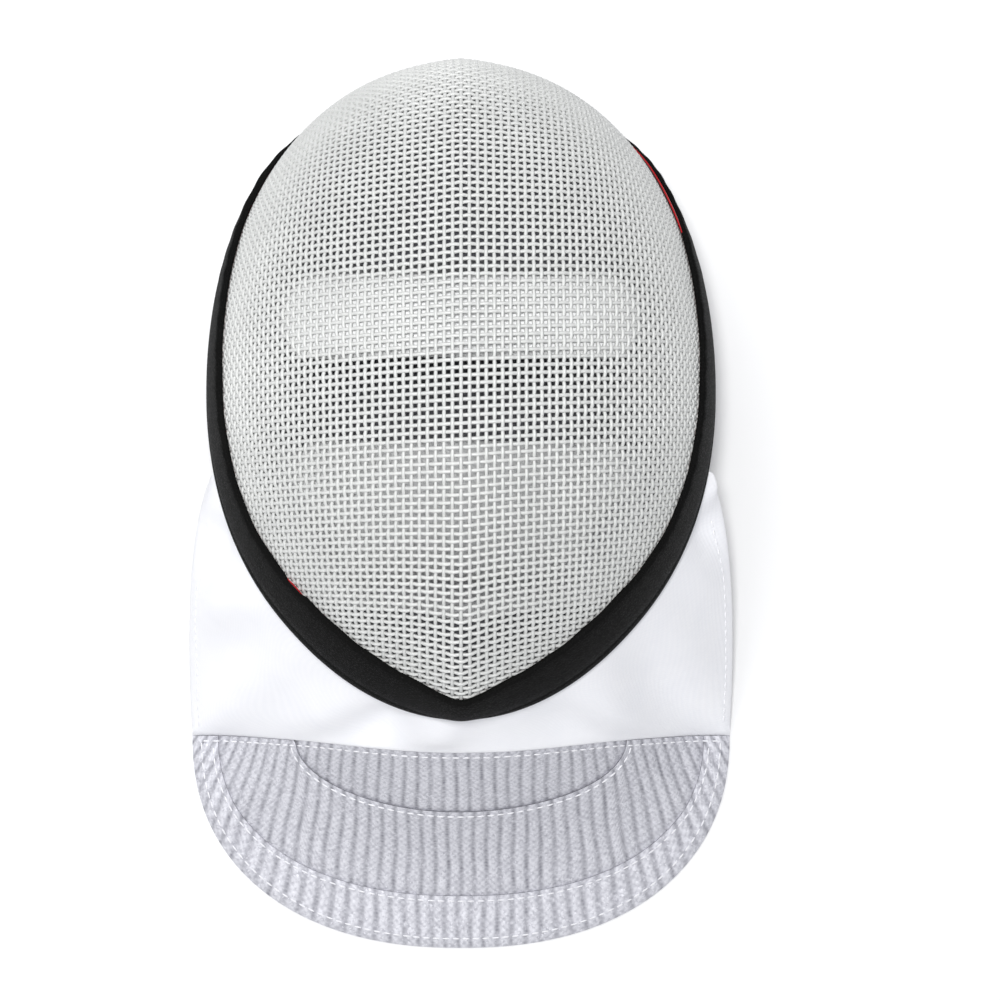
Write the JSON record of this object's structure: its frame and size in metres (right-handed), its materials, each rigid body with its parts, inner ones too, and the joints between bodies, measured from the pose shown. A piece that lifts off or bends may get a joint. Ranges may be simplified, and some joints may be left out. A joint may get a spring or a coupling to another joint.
{
  "type": "fencing mask",
  "caption": "Fencing mask lying on its back: egg-shaped bowl of woven wire with a bound rim, inner pads, back strap and a ribbed conductive bib under a white yoke.",
  "frame": {"origin": "under the middle of the mask's box, on the surface it lies on", "axes": "+Z is the way the mask faces, +Y runs to its crown, -Y to the end of its bib, +X to the right of a person looking at it"},
  "size_m": [0.2282, 0.3706, 0.1632],
  "materials": {
    "painted_wire": "pale grey paint on woven steel wire",
    "red_tape": "plain red cotton tape",
    "leathercloth": "black grained leathercloth",
    "dark_cloth": "matt dark grey woven cloth",
    "white_cloth": "white woven cloth",
    "lame_cloth": "ribbed silver grey conductive cloth"
  },
  "bodies": {
    "root": {"wire_mesh": "painted_wire", "edge_tape": "red_tape", "rim_binding": "leathercloth", "crown_lining": "dark_cloth", "forehead_pad": "white_cloth", "chin_pad": "white_cloth", "back_strap": "dark_cloth", "bib_yoke": "white_cloth", "bib_throat": "lame_cloth", "bib_apron": "lame_cloth", "bib_hem": "lame_cloth"}
  },
  "joints": []
}
